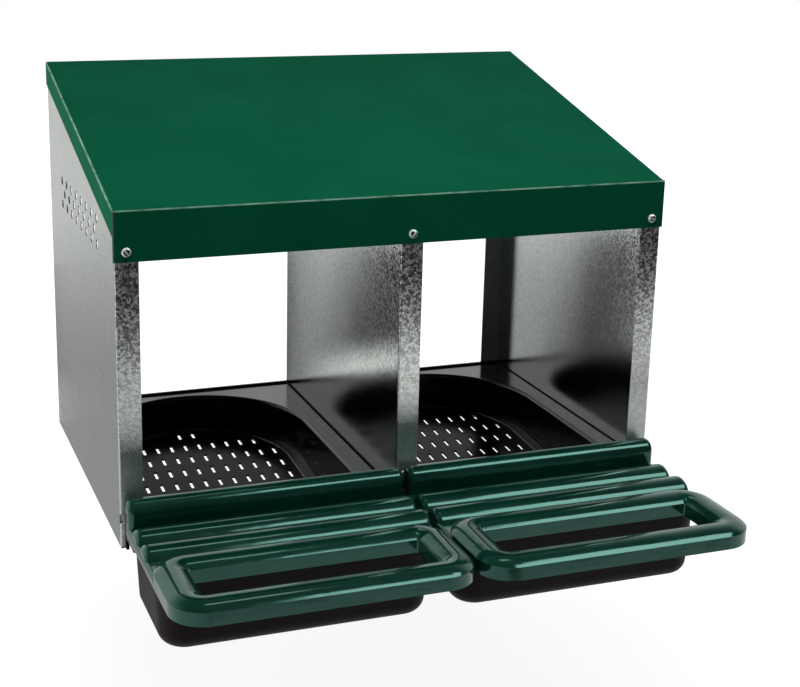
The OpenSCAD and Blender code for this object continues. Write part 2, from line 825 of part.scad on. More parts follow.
// Solid form of the cover, drawn in by a wall thickness and open below
module cover_form(inset) {
    low = inset > 0 ? skirt_z - cut : skirt_z;
    ridge(inset, low);
    along(-frame_y - bar_w / 2, -ridge_y) deck_front_view(inset, low);
    along(-frame_y - frame_r, -frame_y) intersection() {
        deck_front_view(inset, low);
        for (side = [-1, 1])
            translate([side * cover_hw - bar_w / 2, low]) square([bar_w, deck_z - low]);
    }
    intersection() {
        for (y = rib_ys)
            translate([0, -y, rib_z]) end_rounded_bar(rib_r, inset);
        translate([-far / 2, -far, low]) cube(far);
    }
    frame_sweep() bar_section(inset, low);
}

// Ribbed cover with a handle frame; it turns on the rod through the webs in its ridge
module cover() {
    difference() {
        union() {
            difference() {
                cover_form(0);
                cover_form(cover_wall);
            }
            for (x = ear_xs, side = [-1, 1])
                translate([x + side * web_step, -ridge_y, ridge_z])
                    rod_x(2 * ridge_r - cover_wall, -web_t / 2, web_t / 2);
            for (x = gusset_xs)
                translate([x - cover_wall / 2, cover_wall / 2 - hole_y, skirt_z])
                    cube([cover_wall, bar_w + 2 * cover_wall, deck_z - cover_wall / 2 - skirt_z]);
        }
        translate([0, -ridge_y, ridge_z]) rod_x(bore_d, -rod_hl - cut, rod_hl + cut);
    }
}

module cover_left() {
    color(cover_green) at_cover(-1) cover();
}

module cover_right() {
    color(cover_green) at_cover(1) cover();
}

module hinge_rod() {
    translate([0, -ridge_y, ridge_z]) rod_x(rod_d, -rod_hl, rod_hl);
}

module hinge_rod_left() {
    color(bright_zinc) at_cover(-1) hinge_rod();
}

module hinge_rod_right() {
    color(bright_zinc) at_cover(1) hinge_rod();
}

// Push-on clips at both ends of both rods
module rod_clips() {
    color(bright_zinc)
        for (side = [-1, 1], end = [0, 1])
            at_cover(side) mirror([end, 0, 0]) translate([clip_x, -ridge_y, ridge_z]) difference() {
                rod_x(clip_d, 0, clip_t);
                rod_x(bore_d, -cut, clip_t + cut);
            }
}

// Pan-head screw with a straight slot, pointing towards the wall from the outside of the fascia
module fascia_screw() {
    difference() {
        union() {
            intersection() {
                rod_y(screw_head_d, -screw_head_h, 0);
                translate([0, head_round - screw_head_h, 0]) sphere(head_round);
            }
            rod_y(screw_d, 0, screw_grip + nut_t + screw_tail);
        }
        translate([-drive_w / 2, -screw_head_h - cut, -screw_head_d])
            cube([drive_w, cut + drive_depth, 2 * screw_head_d]);
    }
}

module fascia_screws() {
    color(bright_zinc) placed()
        for (i = [0 : 2])
            translate([screw_xs[i], -roof_fit - sheet, screw_z]) rotate([0, screw_turns[i], 0]) fascia_screw();
}

module fascia_nuts() {
    color(bright_zinc) placed()
        for (x = screw_xs)
            translate([x, sheet, screw_z]) rotate([-90, 0, 0]) difference() {
                cylinder(d = nut_w / cos(30), h = nut_t, $fn = 6);
                translate([0, 0, -cut]) cylinder(d = screw_d + hole_gap, h = nut_t + 2 * cut);
            }
}

// Rivet through two sheets, from its head at Y = 0 to its tail
module rivet() {
    translate([0, -rivet_head_h, 0]) rotate([-90, 0, 0])
        cylinder(h = rivet_head_h, d1 = rivet_crown_d, d2 = rivet_head_d);
    rod_y(rivet_d, 0, 2 * sheet);
    rod_y(rivet_tail_d, 2 * sheet, 2 * sheet + rivet_head_h);
}

module front_rail_rivets() {
    color(bright_zinc) placed()
        for (x = rivet_xs)
            translate([x, 0, front_rivet_z]) rivet();
}

// The rear rivets are set from the inside, with flush tails at the wall
module rear_rail_rivets() {
    color(bright_zinc) placed()
        for (x = rivet_xs)
            translate([x, box_d - 2 * sheet, rear_rail_h / 2]) {
                translate([0, -rivet_head_h, 0]) rod_y(rivet_head_d, 0, rivet_head_h);
                rod_y(rivet_d, 0, 2 * sheet);
            }
}

left_side_panel();
right_side_panel();
centre_partition();
roof_panel();
front_rail();
rear_rail();
left_tray_ledge();
right_tray_ledge();
partition_tray_ledges();
nest_tray_left();
nest_tray_right();
nest_floor_left();
nest_floor_right();
egg_tray_left();
egg_tray_right();
cover_left();
cover_right();
hinge_rod_left();
hinge_rod_right();
rod_clips();
fascia_screws();
fascia_nuts();
front_rail_rivets();
rear_rail_rivets();
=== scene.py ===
# %% [markdown]
# # A roll-out nest box for hens
#
# Two nests of galvanised sheet hang on a wall under a green painted roof. Each nest holds a black
# moulded tray with a sloping, slotted floor. An egg rolls down it, under the front rail and into a tray
# that a ribbed green cover keeps dark. The solids come from the CAD model; this lesson gives them their
# looks.

# %% Load the frame
import json
import math

import bpy
from mathutils import Matrix, Vector


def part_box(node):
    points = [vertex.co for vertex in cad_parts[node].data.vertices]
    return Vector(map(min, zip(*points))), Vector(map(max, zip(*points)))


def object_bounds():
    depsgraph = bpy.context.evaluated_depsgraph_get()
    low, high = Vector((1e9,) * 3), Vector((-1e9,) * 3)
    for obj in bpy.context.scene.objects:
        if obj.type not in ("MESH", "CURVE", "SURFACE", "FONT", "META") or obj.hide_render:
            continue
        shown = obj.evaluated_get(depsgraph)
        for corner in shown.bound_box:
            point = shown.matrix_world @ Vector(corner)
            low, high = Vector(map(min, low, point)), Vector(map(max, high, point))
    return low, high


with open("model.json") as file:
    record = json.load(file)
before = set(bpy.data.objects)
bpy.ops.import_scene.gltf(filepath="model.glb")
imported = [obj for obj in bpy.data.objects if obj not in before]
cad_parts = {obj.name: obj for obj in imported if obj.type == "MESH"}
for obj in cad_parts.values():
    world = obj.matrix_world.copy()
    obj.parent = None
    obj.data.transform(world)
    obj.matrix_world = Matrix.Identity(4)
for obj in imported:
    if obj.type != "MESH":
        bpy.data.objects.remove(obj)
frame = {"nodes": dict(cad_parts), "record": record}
nodes = frame["nodes"]
cad_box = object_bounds()
print("loaded", len(nodes), "nodes")

# %% [markdown]
# ## Camera
#
# The picture was taken from a little to the left of the front and from above, with a longish lens. A
# shift of the lens puts the box where it stands in the picture without turning the camera away from it.
# The numbers come from fitting the corners of the roof, the panels and the covers.

# %% Camera
IMAGE_W, IMAGE_H = 800, 687
LENS_AXIS_PX = (325, 285)
FOCAL_PX = 1475
CAMERA_AT = Vector((-0.558, -1.743, 0.334))
LOOK_RIGHT = math.radians(19.2)
LOOK_DOWN = math.radians(14.7)
CAMERA_ROLL = math.radians(0.75)
SENSOR_W = 36


def camera_axes():
    """Right, up and backward directions of the camera."""
    forward = Vector((math.sin(LOOK_RIGHT), math.cos(LOOK_RIGHT), -math.tan(LOOK_DOWN))).normalized()
    level = forward.cross(Vector((0, 0, 1))).normalized()
    plumb = level.cross(forward)
    right = level * math.cos(CAMERA_ROLL) + plumb * math.sin(CAMERA_ROLL)
    return right, right.cross(forward), -forward


camera = bpy.data.cameras.new("camera")
camera.sensor_width = SENSOR_W
camera.lens = FOCAL_PX / IMAGE_W * SENSOR_W
camera.shift_x = (IMAGE_W / 2 - LENS_AXIS_PX[0]) / IMAGE_W
camera.shift_y = (LENS_AXIS_PX[1] - IMAGE_H / 2) / IMAGE_W
camera_object = bpy.data.objects.new("camera", camera)
turn = Matrix(camera_axes()).transposed().to_4x4()
camera_object.matrix_world = Matrix.Translation(CAMERA_AT) @ turn
scene = bpy.context.scene
scene.collection.objects.link(camera_object)
scene.camera = camera_object
print("camera", [round(v, 3) for v in CAMERA_AT], "lens", round(camera.lens, 1))

# %% [markdown]
# ## Shader maths
#
# Finishes are easier to read as sums than as boxes and wires. A `Wire` stands for one output of a node:
# adding or multiplying wires adds the Math nodes, and `add` makes any other node.


# %% Shader maths
class Wire:
    """One output of a shader node. Arithmetic on it adds Math nodes to the same tree."""

    def __init__(self, tree, socket=None):
        self.tree = tree
        self.socket = socket

    def add(self, kind, settings=None, inputs=None, out=0):
        """Adds a node, sets it up, then gives each named socket a value or a link."""
        node = self.tree.nodes.new(kind)
        for name, value in (settings or {}).items():
            setattr(node, name, value)
        for name, value in (inputs or {}).items():
            if isinstance(value, Wire):
                self.tree.links.new(value.socket, node.inputs[name])
            else:
                node.inputs[name].default_value = value
        return Wire(self.tree, node.outputs[out] if len(node.outputs) else None)

    def maths(self, operation, *values):
        """A Math node with these values in its sockets."""
        return self.add("ShaderNodeMath", {"operation": operation}, dict(enumerate(values)))

    def __add__(self, other):
        return self.maths("ADD", self, other)

    __radd__ = __add__

    def __mul__(self, other):
        return self.maths("MULTIPLY", self, other)

    __rmul__ = __mul__

    def __sub__(self, other):
        return self.maths("SUBTRACT", self, other)

    def __rsub__(self, other):
        return self.maths("SUBTRACT", other, self)

    def __or__(self, other):
        return self.maths("MAXIMUM", self, other)

    def __abs__(self):
        return self.maths("ABSOLUTE", self)

    def root(self):
        """Square root."""
        return self.maths("SQRT", self)

    def smooth(self, low, high, start, end):
        """Goes smoothly from start to end as this wire goes from low to high."""
        return self.add(
            "ShaderNodeMapRange",
            {"interpolation_type": "SMOOTHSTEP"},
            {0: self, 1: low, 2: high, 3: start, 4: end},
        )

    def rise(self, low, high):
        """Smoothly from 0 below low to 1 above high."""
        return self.smooth(low, high, 0.0, 1.0)

    def fall(self, low, high):
        """Smoothly from 1 below low to 0 above high."""
        return self.smooth(low, high, 1.0, 0.0)

    def axes(self):
        """The X, Y and Z of a vector."""
        split = self.add("ShaderNodeSeparateXYZ", inputs={0: self}).socket.node
        return [Wire(self.tree, split.outputs[axis]) for axis in "XYZ"]

    def mix(self, low, high):
        """Colour that goes from low to high as this wire goes from 0 to 1."""
        # A Mix node has sockets for every data type: inputs 6 and 7 and output 2 are the colours.
        return self.add("ShaderNodeMix", {"data_type": "RGBA"}, {0: self, 6: low, 7: high}, out=2)


def rgb(red, green, blue):
    """A colour written as 0 to 255 in sRGB, as linear values by the sRGB curve."""
    def linear(level):
        part = level / 255
        return part / 12.92 if part <= 0.04045 else ((part + 0.055) / 1.055) ** 2.4
    return (linear(red), linear(green), linear(blue), 1)


# %% [markdown]
# ## Stage
#
# The box hangs clear of a plain white floor, in front of a plain white background. Rays from the camera
# see pure white there, apart from the box's soft shadow. Mirror rays see the white paper too, but not
# evenly: it is bright under the covers and far behind the box, and brightest in one band on the floor
# in front. The rest of the room is dim. That draws light and dark bands on the zinc and the glossy
# plastic, and their places were fitted to the picture. All other rays meet a grey floor and a dim room,
# so neither lights the box.
#
# Lengths are in metres here and below. A pair of numbers says where a soft edge starts and where it ends.

# %% Stage
FLOOR_BELOW = 0.25
FLOOR_HALF = 6.0
WHITE = (1, 1, 1, 1)
FLOOR_GREY = (0.3, 0.3, 0.3, 1)
ROOM_LIGHT = 0.16
ROOM_MIRRORED = 0.09
BACKDROP_STARTS = (-0.1, 0.25)
BACKDROP_TOP = (0.45, 0.9)
PAPER_GLOW = 1.2
BAND_STARTS = (-1.82, -1.38)
BAND_ENDS = (-1.3, -1.15)
BAND_GROWS = (-0.1, 0.4)
BAND_SHRINKS = (0.65, 1.0)
BAND_LEFT, BAND_MIDDLE, BAND_RIGHT = 0.95, 1.45, 1.1
PAPER_STARTS = (-0.99, -0.94)
PAPER_DIPS = (0.1, 0.6)
PAPER_RETURNS = (1.3, 3.2)
PAPER_LOW = 0.46
SHADOW_REACH = (0.35, 0.95)
SHADOW_SHARE = 0.28


def ray_kinds(wire):
    """1 for rays from the camera, and 1 for rays by way of a mirror or glass."""
    path = wire.add("ShaderNodeLightPath").socket.node
    camera_ray, glossy_ray, clear_ray = (
        Wire(wire.tree, path.outputs[name])
        for name in ("Is Camera Ray", "Is Glossy Ray", "Is Transmission Ray")
    )
    return camera_ray, glossy_ray | clear_ray


def mirrored_paper(across, away):
    """Brightness of the floor in a mirror, from metres right of and behind the middle of the box."""
    grown = (BAND_MIDDLE - BAND_LEFT) * across.rise(*BAND_GROWS)
    shrunk = (BAND_MIDDLE - BAND_RIGHT) * across.rise(*BAND_SHRINKS)
    band = away.rise(*BAND_STARTS) * away.fall(*BAND_ENDS) * (BAND_LEFT + grown - shrunk)
    front = band | away.rise(*PAPER_STARTS)
    behind = PAPER_LOW + (1 - PAPER_LOW) * (away.fall(*PAPER_DIPS) + away.rise(*PAPER_RETURNS))
    return ROOM_MIRRORED + (1 - ROOM_MIRRORED) * front * behind


def empty_material(name):
    """A material without nodes, and the wire to build it from."""
    material = bpy.data.materials.new(name)
    material.use_nodes = True
    material.node_tree.nodes.clear()
    return material, Wire(material.node_tree)


def white_floor():
    """Paper that camera rays see white, mirror rays see in bands and other rays see grey."""
    material, wire = empty_material("white_floor")
    camera_ray, mirror_ray = ray_kinds(wire)
    across, away, _ = wire.add("ShaderNodeTexCoord", out="Object").axes()
    from_box = (across * across + away * away).root()
    grey = wire.add("ShaderNodeBsdfDiffuse", inputs={"Color": FLOOR_GREY})
    paper = wire.add("ShaderNodeBsdfDiffuse", inputs={"Color": WHITE})
    glow = wire.add("ShaderNodeEmission", inputs={"Color": WHITE, "Strength": PAPER_GLOW})
    shadow = SHADOW_SHARE * from_box.fall(*SHADOW_REACH)
    seen = wire.add("ShaderNodeMixShader", inputs={0: shadow, 1: glow, 2: paper})
    level = mirrored_paper(across, away)
    mirrored = wire.add("ShaderNodeEmission", inputs={"Color": WHITE, "Strength": level})
    lit = wire.add("ShaderNodeMixShader", inputs={0: mirror_ray, 1: grey, 2: mirrored})
    shown = wire.add("ShaderNodeMixShader", inputs={0: camera_ray, 1: lit, 2: seen})
    wire.add("ShaderNodeOutputMaterial", inputs={"Surface": shown})
    return material


def studio_world():
    """White for camera rays, a white backdrop in a dim room for mirror rays, and dim for the rest."""
    world = bpy.data.worlds.new("studio")
    world.use_nodes = True
    world.node_tree.nodes.clear()
    wire = Wire(world.node_tree)
    camera_ray, mirror_ray = ray_kinds(wire)
    _, away, up = wire.add("ShaderNodeTexCoord", out="Generated").axes()
    paper = away.rise(*BACKDROP_STARTS) * up.fall(*BACKDROP_TOP)
    mirrored = ROOM_MIRRORED + (1 - ROOM_MIRRORED) * paper
    level = ROOM_LIGHT + mirror_ray * (mirrored - ROOM_LIGHT)
    room = wire.add("ShaderNodeBackground", inputs={"Color": WHITE, "Strength": camera_ray | level})
    wire.add("ShaderNodeOutputWorld", inputs={"Surface": room})
    return world


scene.view_settings.view_transform = "Standard"
scene.world = studio_world()
bpy.ops.object.select_all(action="DESELECT")
middle = (cad_box[0] + cad_box[1]) / 2
floor_z = cad_box[0].z - FLOOR_BELOW
bpy.ops.mesh.primitive_plane_add(size=2 * FLOOR_HALF, location=(middle.x, middle.y, floor_z))
floor = bpy.context.object
floor.name = "floor"
floor.data.materials.append(white_floor())
print("floor at", round(floor_z, 3))

# %% [markdown]
# A photographer shades bright metal with flags, black cards that stand out of the picture. Here two of
# them stand behind the open back, and only mirror rays see them. They darken the front half of the
# partition's left face and of the right panel's inner face. The left one has a white strip at its foot,
# which shows in the partition as a bright band just above the tray.

# %% Flags
CARD_SIZE = 1
FLAG_AWAY = 0.3
FLAG_FOOT = -0.41
FLAG_TOP = -0.175
FLAG_DARK = 0.05
FLAG_SHARE = 0.95
FLAG_LEAN = 0.3
FLAG_FADE = (0.6, 1.06)
STRIP_FADE = (0.17, 0.37)


def flag_card(name, strip):
    """Card that fades out to its right, more so higher up; strip is the brightness of its foot."""
    material, wire = empty_material(name)
    across, up, _ = wire.add("ShaderNodeTexCoord", out="Object").axes()
    from_left, from_foot = across + CARD_SIZE / 2, up + CARD_SIZE / 2
    share = FLAG_SHARE * (from_left + FLAG_LEAN * from_foot).fall(*FLAG_FADE)
    level = FLAG_DARK + (strip - FLAG_DARK) * from_foot.fall(*STRIP_FADE)
    clear = wire.add("ShaderNodeBsdfTransparent", inputs={"Color": WHITE})
    card = wire.add("ShaderNodeEmission", inputs={"Color": WHITE, "Strength": level})
    shown = wire.add("ShaderNodeMixShader", inputs={0: share, 1: clear, 2: card})
    wire.add("ShaderNodeOutputMaterial", inputs={"Surface": shown})
    return material


def flag(name, left, right, strip):
    """Upright card behind the box that only mirror rays see."""
    centre = ((left + right) / 2, FLAG_AWAY, (FLAG_FOOT + FLAG_TOP) / 2)
    upright = (math.pi / 2, 0, 0)
    bpy.ops.mesh.primitive_plane_add(size=CARD_SIZE, location=centre, rotation=upright)
    card = bpy.context.object
    card.name = name
    card.scale = (right - left, FLAG_TOP - FLAG_FOOT, 1)
    card.data.materials.append(flag_card(name, strip))
    card.visible_camera = False
    card.visible_diffuse = False
    card.visible_transmission = False
    card.visible_shadow = False
    print(name, "from", left, "to", right)


flag("partition_flag", left=-0.33, right=-0.13, strip=1.35)
flag("right_panel_flag", left=-0.108, right=0.09, strip=FLAG_DARK)

# %% [markdown]
# ## Lamps
#
# Two lamps light the box, and gloss doesn't show them: a softbox over the covers and a weaker one on
# the left, which keeps the left side from going black. Two more only show in gloss, as strips of white
# card would. The long one, in front and to the right, draws the crisp line along the front of each rib.
# The short one, over the left cover, draws the soft warm shine at that cover's left end.

# %% Lamps
TOP_LIGHT = {"place": Vector((0.0, -0.75, 1.24)), "size": (1.5, 0.7), "glow": 4.6}
LEFT_LIGHT = {"place": Vector((-1.6, -0.05, -0.1)), "size": (1.0, 1.0), "glow": 5.8}
RIB_LIGHT = {"place": Vector((0.88, -1.27, 1.24)), "size": (1.16, 0.88), "glow": 6.5}
SHINE_LIGHT = {"place": Vector((0.06, -0.6, 1.24)), "size": (0.45, 0.8), "glow": 3.4}
SHINE_COLOUR = (1.0, 0.95, 0.84)


def softbox(name, target, place, size, glow):
    """Rectangular lamp at a place, facing a target; glow is its brightness as the plastic mirrors it."""
    lamp = bpy.data.lights.new(name, "AREA")
    lamp.shape = "RECTANGLE"
    lamp.size, lamp.size_y = size
    lamp.energy = glow * math.pi * size[0] * size[1]
    lamp_object = bpy.data.objects.new(name, lamp)
    lamp_object.location = place
    lamp_object.rotation_euler = (target - place).to_track_quat("-Z", "Y").to_euler()
    lamp_object.visible_camera = False
    scene.collection.objects.link(lamp_object)
    print(name, round(lamp.energy, 1), "W")
    return lamp_object


DOWN = Vector((0, 0, -1))
softbox("top_light", TOP_LIGHT["place"] + DOWN, **TOP_LIGHT).visible_glossy = False
softbox("left_light", middle, **LEFT_LIGHT).visible_glossy = False
softbox("rib_light", RIB_LIGHT["place"] + DOWN, **RIB_LIGHT).visible_diffuse = False
shine = softbox("shine_light", SHINE_LIGHT["place"] + DOWN, **SHINE_LIGHT)
shine.visible_diffuse = False
shine.data.color = SHINE_COLOUR

# %% [markdown]
# ## Finishes
#
# Each finish is one function. It reads Object coordinates, which are the frame's own metres here, so a
# pattern keeps its real size on every piece.


# %% Helpers for the finishes
MILLIMETRE = 0.001
CLOUD_RANGE = (0.3, 0.7)


def new_finish(name):
    """An empty material, the wire to build it from, and its coordinates in metres."""
    material, wire = empty_material(name)
    return material, wire, wire.add("ShaderNodeTexCoord", out="Object")


def noise(wire, place, size, detail=3.0, roughness=0.5):
    """Soft blotches of about the given size, from 0 to 1."""
    return wire.add(
        "ShaderNodeTexNoise",
        inputs={"Vector": place, "Scale": 1 / size, "Detail": detail, "Roughness": roughness},
        out="Fac",
    )


def bumps(wire, height):
    """A Bump node for a height in millimetres."""
    return wire.add("ShaderNodeBump", inputs={"Height": height, "Distance": MILLIMETRE}, out="Normal")


def close_finish(material, wire, sockets):
    """Adds the Principled shader with these sockets, and returns the finished material."""
    shader = wire.add("ShaderNodeBsdfPrincipled", inputs=sockets)
    wire.add("ShaderNodeOutputMaterial", inputs={"Surface": shader})
    print("finish", material.name, len(material.node_tree.nodes), "nodes")
    return material


# %% [markdown]
# Hot-dip zinc freezes in crystals. They show as spangle: grains of two or three millimetres, each with
# its own brightness and a slightly different tilt, so that they glitter where light meets dark. A
# Voronoi texture gives each crystal a brightness, noise tilts the surface, and a long wave stands for
# the sheet's slight buckling. Real spangle is even over a sheet. Three masks depart from that to match
# the tones of the picture. On the upper front the grains' colours are pushed much darker and lighter:
# this is a painted reflection, standing in for the glitter where the sheet mirrors the dark room. The
# feet of the front flanges and the flanges at the wall are rougher, so that they mirror less of the
# covers and of the dark nest. The specular tint keeps sheet that is seen edge-on from going white.

# %% Galvanised sheet
SPANGLE_SIZE = 2.6 * MILLIMETRE
GRAIN_SIZE = 0.6 * SPANGLE_SIZE
ZINC_CLOUD_SIZE = 60 * MILLIMETRE
BUCKLE_SIZE = 140 * MILLIMETRE
CRYSTAL_SHARE, GRAIN_SHARE, CLOUD_SHARE = 0.35, 0.5, 0.15
TONE_RANGE = (0.38, 0.64)
PLAIN_GRAINS = rgb(183, 188, 184), rgb(200, 204, 200)
# Painted reflection: grain colours with a much stronger contrast for the upper front of the sheets.
PAINTED_REFLECTION_GRAINS = rgb(96, 101, 97), rgb(236, 239, 235)
EDGE_ON_TINT = (0.7, 0.71, 0.7, 1)
ZINC_ROUGH, TONE_ROUGH, DULL_ROUGH = 0.09, 0.07, 0.3
BUCKLE_MM, GRAIN_MM = 0.9, 0.07
PAINTED_REFLECTION_DEPTH = (0.005, 0.14)
PAINTED_REFLECTION_HEIGHT = (-0.2, -0.02)
SKIN = (0.4 * MILLIMETRE, 0.8 * MILLIMETRE)
WALL_FLANGE = (2 * MILLIMETRE, 3 * MILLIMETRE)
FRONT_SKIN = (0.4 * MILLIMETRE, 0.6 * MILLIMETRE)
FOOT_HEIGHT = (-0.235, -0.165)


def galvanised_sheet():
    material, wire, place = new_finish("galvanised_sheet")
    across, away, up = place.axes()
    low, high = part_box("left_side_panel")
    inside = (-low.x - abs(across)).rise(*SKIN)
    # Painted reflection: 1 on the upper front of the sheets, where the grains' colour contrast is raised.
    painted_reflection = inside * (away - low.y).fall(*PAINTED_REFLECTION_DEPTH) * up.rise(*PAINTED_REFLECTION_HEIGHT)
    foot = (away - low.y).fall(*FRONT_SKIN) * up.fall(*FOOT_HEIGHT)
    dull = (high.y - away).fall(*WALL_FLANGE) | foot
    cells = {"Vector": place, "Scale": 1 / SPANGLE_SIZE}
    crystals = wire.add("ShaderNodeTexVoronoi", inputs=cells, out="Color")
    crystal = wire.add("ShaderNodeSeparateColor", inputs={0: crystals}, out="Red")
    grain = noise(wire, place, GRAIN_SIZE, roughness=0.7)
    cloud = noise(wire, place, ZINC_CLOUD_SIZE)
    tone = CRYSTAL_SHARE * crystal + GRAIN_SHARE * grain + CLOUD_SHARE * cloud
    dark_grain, light_grain = (painted_reflection.mix(*pair) for pair in zip(PLAIN_GRAINS, PAINTED_REFLECTION_GRAINS))
    colour = tone.rise(*TONE_RANGE).mix(dark_grain, light_grain)
    buckle = noise(wire, place, BUCKLE_SIZE, detail=1.0)
    return close_finish(material, wire, {
        "Base Color": colour,
        "Metallic": 1.0,
        "Roughness": ZINC_ROUGH + TONE_ROUGH * tone + DULL_ROUGH * dull,
        "Specular Tint": EDGE_ON_TINT,
        "Normal": bumps(wire, BUCKLE_MM * buckle + GRAIN_MM * grain),
    })


# %% [markdown]
# The roof is taken as coil-coated sheet, with a trace of orange peel. Its green is so even in the
# picture that the gloss is almost off here. The picture also shows a pale line along the folds and a
# narrow grey strip at the fascia's left end. The pale line is a painted highlight, the glint on the
# rounded folds, broken into patches. The strip is probably the cut edge of the sheet. It is painted a
# little wider than the edge, and on the left only, because this camera sees the edge itself too flat.
# Both are masks worked out from the roof's own box and its top face, so they stay in place when the
# roof changes size.

# %% Roof paint
SHEET = 1.0 * MILLIMETRE
FRONT_FOLD = (0.8 * MILLIMETRE, 1.5 * MILLIMETRE)
SIDE_FOLD = (1.3 * MILLIMETRE, 1.9 * MILLIMETRE)
FASCIA_SKIN = (SHEET, 1.2 * SHEET)
GREY_END = (1.2 * MILLIMETRE, 1.6 * MILLIMETRE)
FOLD_HIGHLIGHT_SHARE = 0.8
FOLD_PATCH_SIZE = 20 * MILLIMETRE
FOLD_PATCH_RANGE = (0.2, 0.6)
ROOF_CLOUD_SIZE = 90 * MILLIMETRE
PEEL_SIZE = 1.6 * MILLIMETRE
ROOF_GREENS = rgb(8, 86, 60), rgb(11, 92, 65)
# Painted highlight: the pale colour of the glint along the folds.
PAINTED_FOLD_HIGHLIGHT = rgb(140, 180, 160)
SHEET_GREY = rgb(120, 124, 120)
ROOF_ROUGH, PEEL_ROUGH = 0.46, 0.08
PEEL_MM = 0.06
ROOF_GLOSS = 0.004
ROOF_GLOSS_TINT = (0.12, 1.0, 0.7, 1)
FACING_UP = 0.5


def roof_plane():
    """Normal of the roof's top face and its distance from the origin along it."""
    mesh = nodes["roof_panel"].data
    face = max((f for f in mesh.polygons if f.normal.z > FACING_UP), key=lambda f: f.area)
    return face.normal, face.normal.dot(face.center)


def roof_paint():
    material, wire, place = new_finish("roof_paint")
    across, away, up = place.axes()
    low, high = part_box("roof_panel")
    normal, reach = roof_plane()
    below_top = reach - (normal.y * away + normal.z * up)
    cloud = noise(wire, place, ROOF_CLOUD_SIZE)
    peel = noise(wire, place, PEEL_SIZE, detail=2.0)
    colour = cloud.rise(*CLOUD_RANGE).mix(*ROOF_GREENS)
    from_front, from_side = away - low.y, high.x - abs(across)
    # Painted highlight: a pale line along the front and side folds, broken into patches.
    fold_highlight = (from_front + below_top).fall(*FRONT_FOLD) | (from_side + below_top).fall(*SIDE_FOLD)
    patches = noise(wire, place, FOLD_PATCH_SIZE, detail=4.0).rise(*FOLD_PATCH_RANGE)
    colour = (FOLD_HIGHLIGHT_SHARE * fold_highlight * patches).mix(colour, PAINTED_FOLD_HIGHLIGHT)
    fascia_end = (across - low.x).fall(*GREY_END) * from_front.fall(*FASCIA_SKIN)
    colour = fascia_end.mix(colour, SHEET_GREY)
    return close_finish(material, wire, {
        "Base Color": colour,
        "Metallic": fascia_end,
        "Roughness": ROOF_ROUGH + PEEL_ROUGH * peel,
        "Specular IOR Level": ROOF_GLOSS,
        "Specular Tint": ROOF_GLOSS_TINT,
        "Normal": bumps(wire, PEEL_MM * peel),
    })


# %% [markdown]
# The covers look injection-moulded and glossy. Such a skin is never quite flat: it sinks a little over
# the ribs, which makes the reflections waver. A soft noise in the bump stands for that, and one that is
# stretched along the cover for slight flow lines. Both are too shallow to be worth modelling. The
# roughness varies a little too, by a guess. Gloss on plastic is colourless, but the highlights in the
# picture are greenish, so the specular tint is fitted to them.

# %% Cover plastic
COVER_CLOUD_SIZE = 50 * MILLIMETRE
SPECK_SIZE = 4 * MILLIMETRE
COVER_SINK_SIZE = 30 * MILLIMETRE
FLOW_SIZE = 5 * MILLIMETRE
FLOW_STRETCH = (0.08, 1, 1)
COVER_GREENS = rgb(7, 46, 36), rgb(9, 54, 43)
COVER_ROUGH, SPECK_ROUGH = 0.08, 0.16
COVER_SINK_MM, FLOW_MM = 0.3, 0.06
COVER_GLOSS = 0.7
COVER_GLOSS_TINT = (0.44, 1.0, 0.86, 1)


def cover_plastic():
    material, wire, place = new_finish("cover_plastic")
    cloud = noise(wire, place, COVER_CLOUD_SIZE)
    speck = noise(wire, place, SPECK_SIZE, detail=5.0, roughness=0.7)
    sink = noise(wire, place, COVER_SINK_SIZE, detail=1.0)
    along = wire.add("ShaderNodeMapping", inputs={"Vector": place, "Scale": FLOW_STRETCH})
    flow = noise(wire, along, FLOW_SIZE, detail=2.0)
    return close_finish(material, wire, {
        "Base Color": cloud.rise(*CLOUD_RANGE).mix(*COVER_GREENS),
        "Roughness": COVER_ROUGH + SPECK_ROUGH * speck * cloud,
        "Specular IOR Level": COVER_GLOSS,
        "Specular Tint": COVER_GLOSS_TINT,
        "Normal": bumps(wire, COVER_SINK_MM * sink + FLOW_MM * flow),
    })


# %% [markdown]
# The nest trays are black and glossy. A black surface shows nothing but what it mirrors: the white
# behind the box on the rims, and the dark nest in the bowl. The picture shows a black line along the
# rims beside the sheet. It may be a gap or a shadow, and a rough strip along the rims' edges draws it
# here.

# %% Nest plastic
RIM_EDGE = (1.4 * MILLIMETRE, 2.2 * MILLIMETRE)
TRAY_CLOUD_SIZE = 40 * MILLIMETRE
TRAY_SINK_SIZE = 35 * MILLIMETRE
TRAY_BLACKS = rgb(6, 6, 6), rgb(10, 10, 10)
TRAY_ROUGH, TRAY_CLOUD_ROUGH, RIM_EDGE_ROUGH = 0.1, 0.1, 0.8
TRAY_SINK_MM = 0.3


def nest_plastic():
    material, wire, place = new_finish("nest_plastic")
    beside = abs(place.axes()[0])
    low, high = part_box("nest_tray_right")
    rim_edge = wire.maths("MINIMUM", beside - low.x, high.x - beside).fall(*RIM_EDGE)
    cloud = noise(wire, place, TRAY_CLOUD_SIZE)
    sink = noise(wire, place, TRAY_SINK_SIZE, detail=1.0)
    return close_finish(material, wire, {
        "Base Color": cloud.rise(*CLOUD_RANGE).mix(*TRAY_BLACKS),
        "Roughness": TRAY_ROUGH + TRAY_CLOUD_ROUGH * cloud + RIM_EDGE_ROUGH * rim_edge,
        "Normal": bumps(wire, TRAY_SINK_MM * sink),
    })


# %% [markdown]
# The slotted floors look greyer than the trays, so they are taken as the same black plastic with a fine
# grained face, which spreads the mirror image of the white background. The picture shows a thin bright
# arc at the back, taken as a polished bead round the edge: a coat on all that stands above the sloping
# face draws it.

